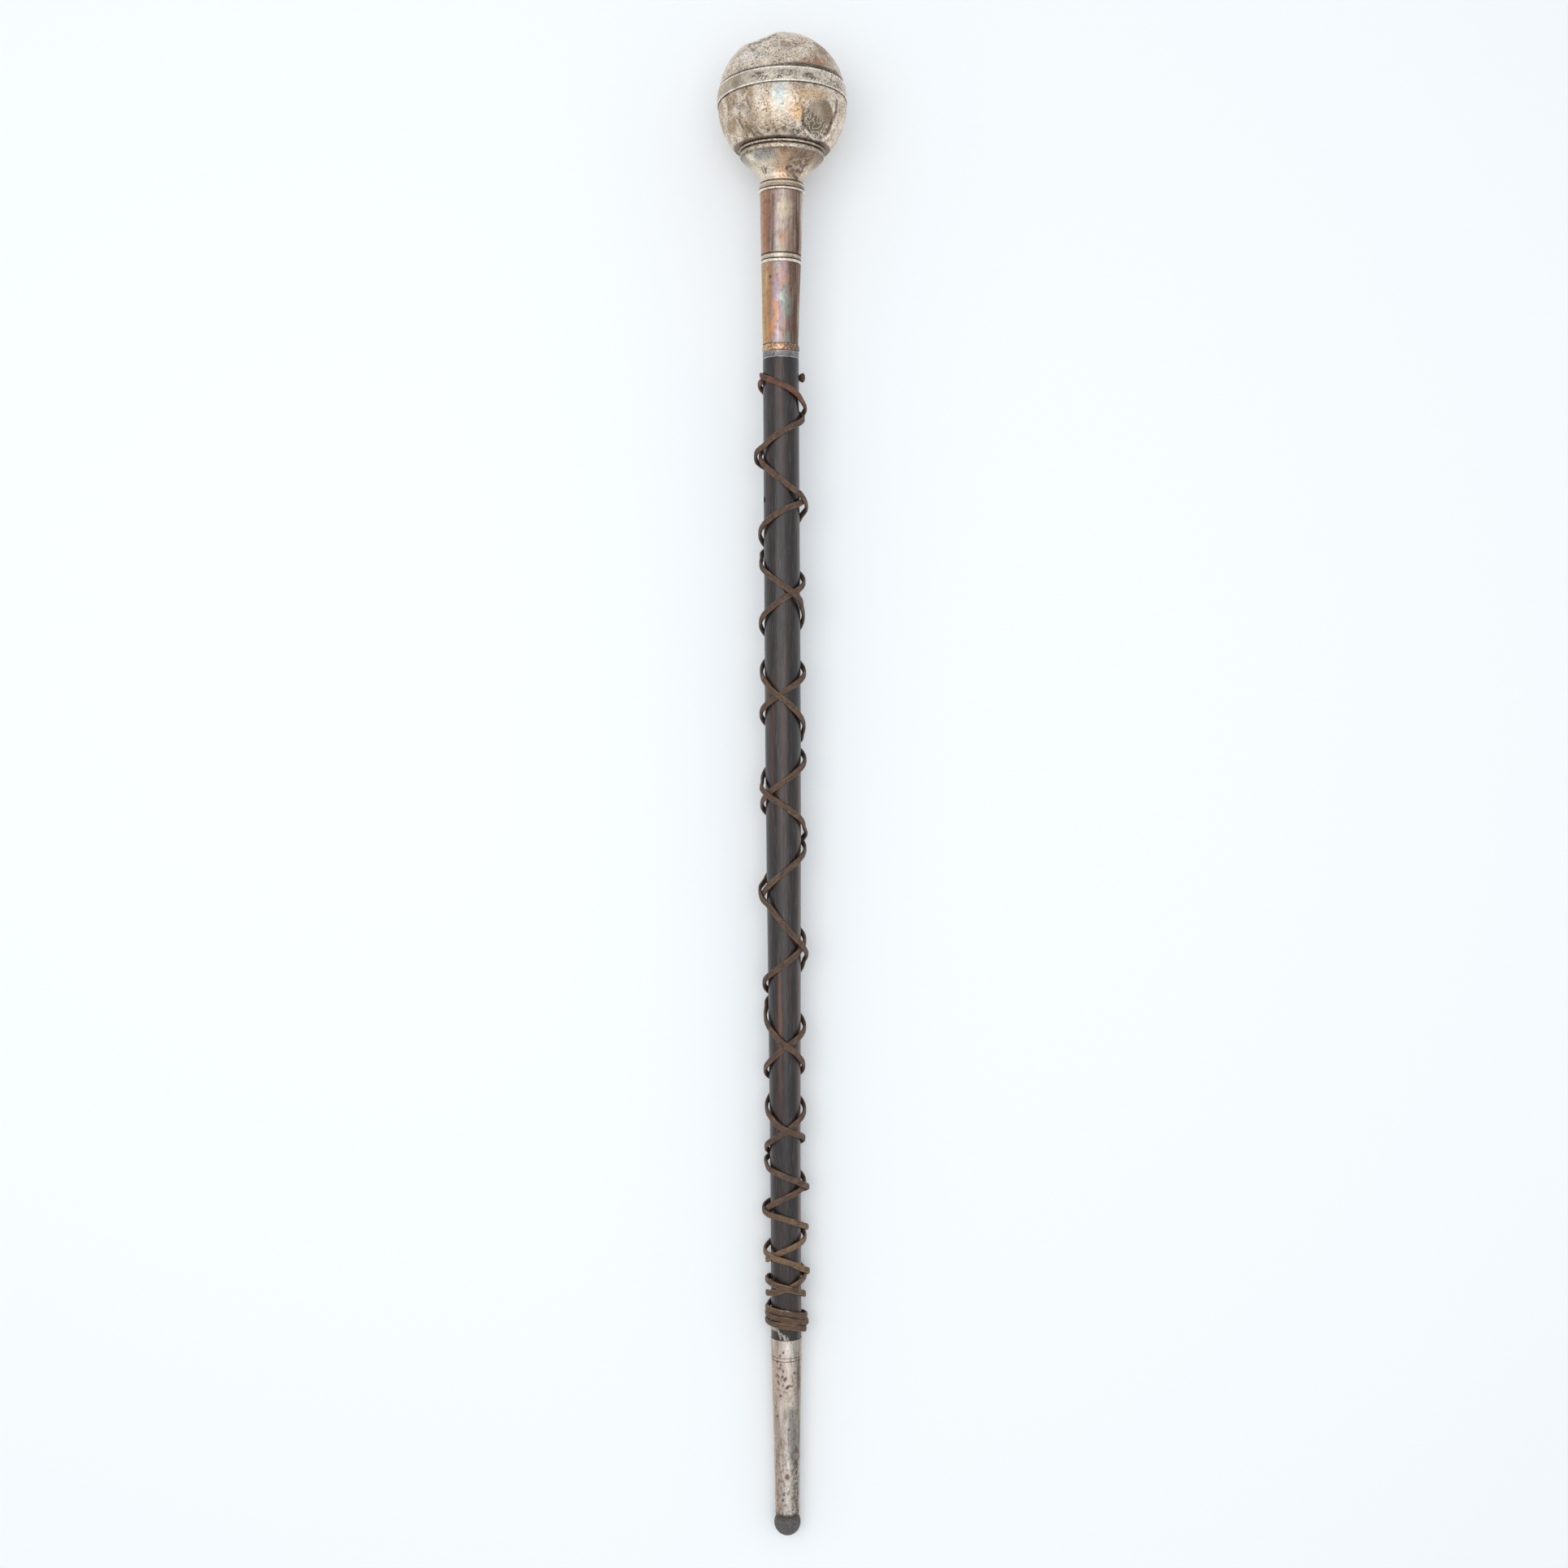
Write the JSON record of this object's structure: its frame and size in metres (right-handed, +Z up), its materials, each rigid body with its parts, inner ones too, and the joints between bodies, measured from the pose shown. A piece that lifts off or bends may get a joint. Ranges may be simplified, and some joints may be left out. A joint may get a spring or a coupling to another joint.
{
  "type": "band baton",
  "caption": "Drum major's parade staff: dark wooden shaft laced with crossed leather thongs, silver globe head on a flared collar, ringed sleeves, tapered ferrule and ball tip; lies down.",
  "frame": {"origin": "on the ground under the middle of the lying staff", "axes": "+Y along the staff towards the globe, +X to the staff's right as seen from above, +Z up"},
  "size_m": [0.1026, 1.1914, 0.102],
  "materials": {
    "iron": "matte, dark, worn iron",
    "ferrule_silver": "tarnished silver, pitted",
    "ebony": "worn satin ebony",
    "leather": "old hard rawhide, worn edges",
    "ring_silver": "blackened silver, bright edges",
    "sleeve_silver": "rainbow-tarnished silver",
    "globe_silver": "hammered, tarnished silver"
  },
  "bodies": {
    "root": {"tip_ball": "iron", "ferrule": "ferrule_silver", "shaft": "ebony", "thong_right_hand": "leather", "thong_left_hand": "leather", "socket_band": "ring_silver", "lower_ring": "ring_silver", "lower_sleeve": "sleeve_silver", "middle_ring": "ring_silver", "upper_sleeve": "sleeve_silver", "neck_ring": "ring_silver", "neck_collar": "globe_silver", "globe_bowl": "globe_silver", "globe_belt": "globe_silver", "globe_dome": "globe_silver"}
  },
  "joints": []
}
